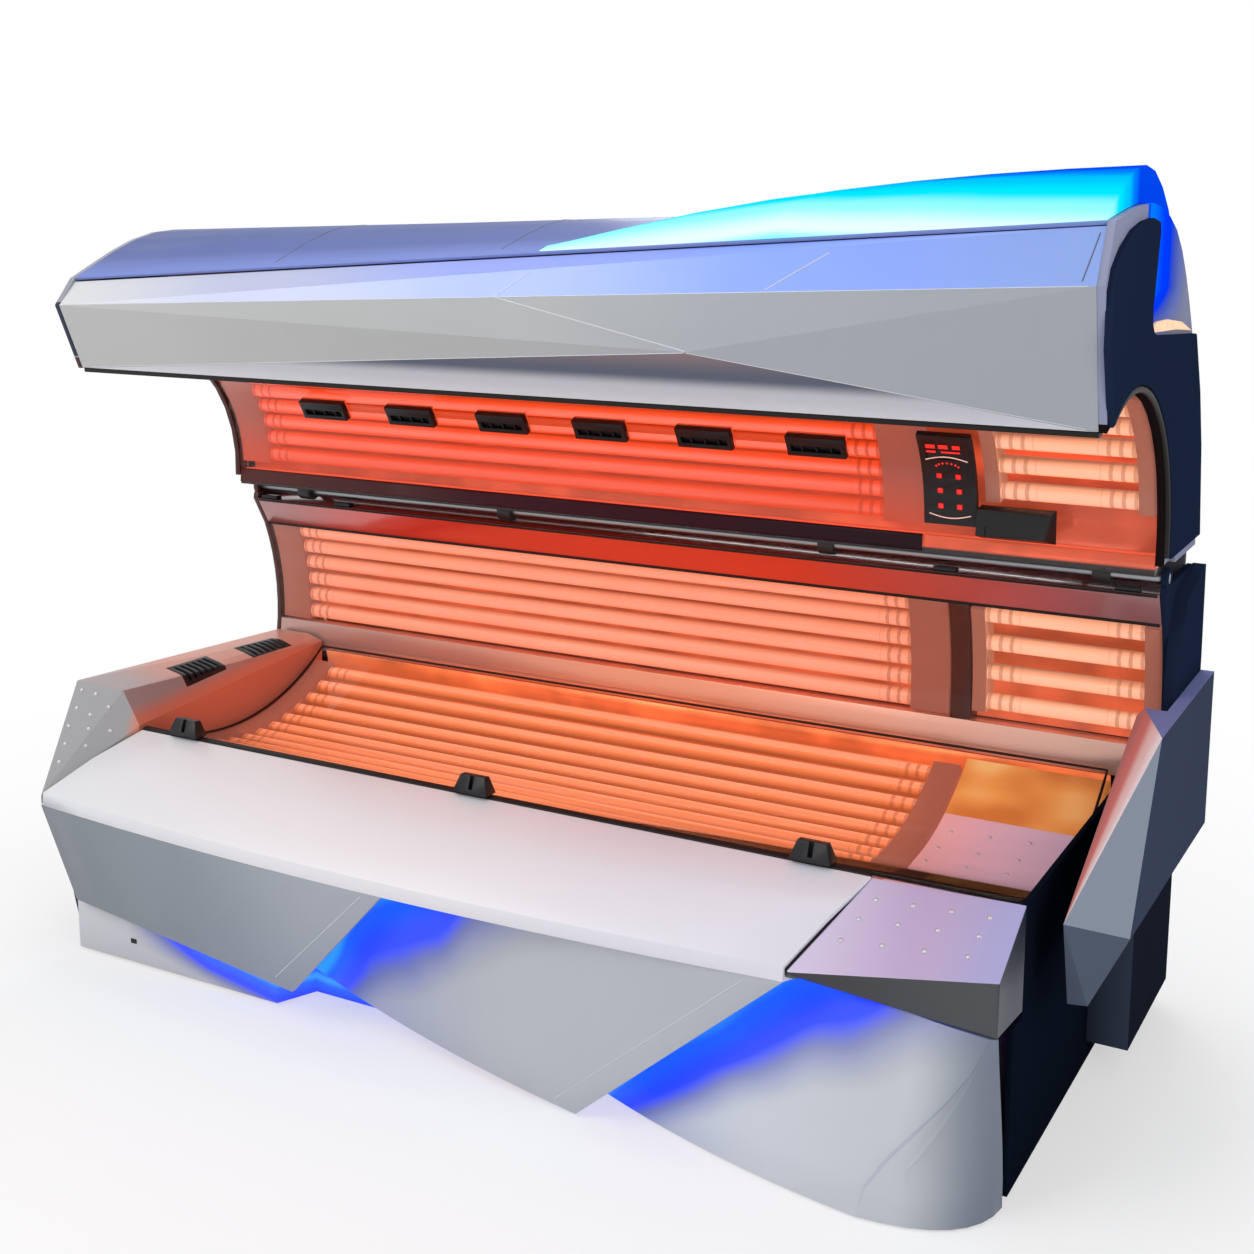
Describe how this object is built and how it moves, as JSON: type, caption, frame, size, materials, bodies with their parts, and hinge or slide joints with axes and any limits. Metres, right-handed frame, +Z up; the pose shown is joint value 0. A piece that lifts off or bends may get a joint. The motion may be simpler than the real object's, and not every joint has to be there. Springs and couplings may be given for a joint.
{
  "type": "clamshell tanning bed",
  "caption": "Clamshell tanning bed: a bench with lamps under a clear sheet, a fixed lamp wall behind it, and a hinged lamp canopy that swings down over the user.",
  "frame": {"origin": "on the floor, under the middle of the bounding box of the bed with its canopy open", "axes": "+X along the bed towards the head end, +Y from the open front to the back, +Z up"},
  "size_m": [2.415, 1.11, 1.8189],
  "materials": {
    "silver": "satin",
    "grey": "satin",
    "white": "gloss",
    "top_shell": "gloss",
    "light_fin": "lit, translucent",
    "navy": "gloss",
    "black": "satin",
    "clear": "clear acrylic",
    "reflector": "polished",
    "lamp": "lit tube",
    "light_bar": "lit, translucent",
    "key": "gloss",
    "steel": "ground",
    "frame": "matt",
    "nose": "gloss",
    "dark": "satin",
    "fin": "satin",
    "shoulder": "satin"
  },
  "bodies": {
    "base": {"wall_sheet": "clear", "wall_housing": "reflector", "wall_lamps": "lamp", "wall_face_lamps": "lamp", "wall_divider": "dark", "wall_nose_cover": "nose", "wall_foot_rail": "silver", "wall_end_left": "dark", "wall_end_right": "navy", "hinge_shaft": "steel", "bench_lamps": "lamp", "bench_tray": "reflector", "head_panel": "silver", "bench_seal_rail": "black", "apron": "white", "end_cap_left": "silver", "air_outlet_1": "black", "air_outlet_2": "black", "shoulder_right": "shoulder", "skirt_left": "grey", "skirt_middle": "grey", "skirt_right": "grey", "side_right": "navy", "side_left": "navy", "plinth": "white", "rear_cover": "frame", "light_bar_left": "light_bar", "light_bar_right": "light_bar", "side_fin": "fin", "side_post": "frame", "base_frame": "frame", "fan_housing": "black", "lamp_control_gear": "steel"},
    "canopy": {"canopy_top": "top_shell", "canopy_light_fin": "light_fin", "canopy_front": "silver", "air_nozzles": "black", "canopy_sheet": "clear", "canopy_tray": "reflector", "canopy_lamps": "lamp", "canopy_face_lamps": "lamp", "canopy_end_right": "navy", "canopy_end_left": "grey", "canopy_lip": "black", "control_panel": "black", "face_outlet": "black"},
    "bench_catch_1": {"bench_catch_1": "black"},
    "bench_catch_2": {"bench_catch_2": "black"},
    "bench_catch_3": {"bench_catch_3": "black"},
    "bench_sheet": {"bench_sheet": "clear"},
    "fan_impeller": {"fan_impeller": "black"},
    "key_1": {"key_1": "key"},
    "key_2": {"key_2": "key"},
    "key_3": {"key_3": "key"},
    "key_4": {"key_4": "key"},
    "key_5": {"key_5": "key"},
    "key_6": {"key_6": "key"},
    "strut_rod_left": {"strut_rod_left": "steel"},
    "strut_rod_right": {"strut_rod_right": "steel"}
  },
  "joints": [
    {"name": "canopy_hinge", "type": "hinge", "parent": "base", "child": "canopy", "pos_m": [0, 0.3, 1.015], "axis": [1, 0, 0], "range_deg": [0, 56]},
    {"name": "bench_sheet_hinge", "type": "hinge", "parent": "base", "child": "bench_sheet", "pos_m": [0, 0.33532, 0.59224], "axis": [1, 0, 0], "range_deg": [-38, 0]},
    {"name": "strut_left_slide", "type": "slide", "parent": "base", "child": "strut_rod_left", "axis": [0, 0, 1], "range_m": [0, 0.1415]},
    {"name": "strut_right_slide", "type": "slide", "parent": "base", "child": "strut_rod_right", "axis": [0, 0, 1], "range_m": [0, 0.1415]},
    {"name": "bench_catch_1_pivot", "type": "hinge", "parent": "bench_sheet", "child": "bench_catch_1", "pos_m": [-0.9007, -0.3048, 0.54741], "axis": [1, 0, 0], "range_deg": [-25, 0]},
    {"name": "bench_catch_2_pivot", "type": "hinge", "parent": "bench_sheet", "child": "bench_catch_2", "pos_m": [-0.10538, -0.3048, 0.54741], "axis": [1, 0, 0], "range_deg": [-25, 0]},
    {"name": "bench_catch_3_pivot", "type": "hinge", "parent": "bench_sheet", "child": "bench_catch_3", "pos_m": [0.65454, -0.3048, 0.54741], "axis": [1, 0, 0], "range_deg": [-25, 0]},
    {"name": "fan_spin", "type": "hinge", "parent": "base", "child": "fan_impeller", "pos_m": [0, 0.5177, 0.235], "axis": [0, 1, 0], "continuous": true},
    {"name": "key_1_press", "type": "slide", "parent": "canopy", "child": "key_1", "axis": [0, 0.9877, 0.1564], "range_m": [0, 0.001], "stiffness_N_per_m": 800},
    {"name": "key_2_press", "type": "slide", "parent": "canopy", "child": "key_2", "axis": [0, 0.9877, 0.1564], "range_m": [0, 0.001], "stiffness_N_per_m": 800},
    {"name": "key_3_press", "type": "slide", "parent": "canopy", "child": "key_3", "axis": [0, 0.9659, 0.2588], "range_m": [0, 0.001], "stiffness_N_per_m": 800},
    {"name": "key_4_press", "type": "slide", "parent": "canopy", "child": "key_4", "axis": [0, 0.9659, 0.2588], "range_m": [0, 0.001], "stiffness_N_per_m": 800},
    {"name": "key_5_press", "type": "slide", "parent": "canopy", "child": "key_5", "axis": [0, 0.9336, 0.3584], "range_m": [0, 0.001], "stiffness_N_per_m": 800},
    {"name": "key_6_press", "type": "slide", "parent": "canopy", "child": "key_6", "axis": [0, 0.9336, 0.3584], "range_m": [0, 0.001], "stiffness_N_per_m": 800}
  ],
  "couplings": [
    {"joint": "strut_left_slide", "follows": "canopy_hinge", "m_per_rad": 0.1441},
    {"joint": "strut_right_slide", "follows": "canopy_hinge", "m_per_rad": 0.1441}
  ]
}
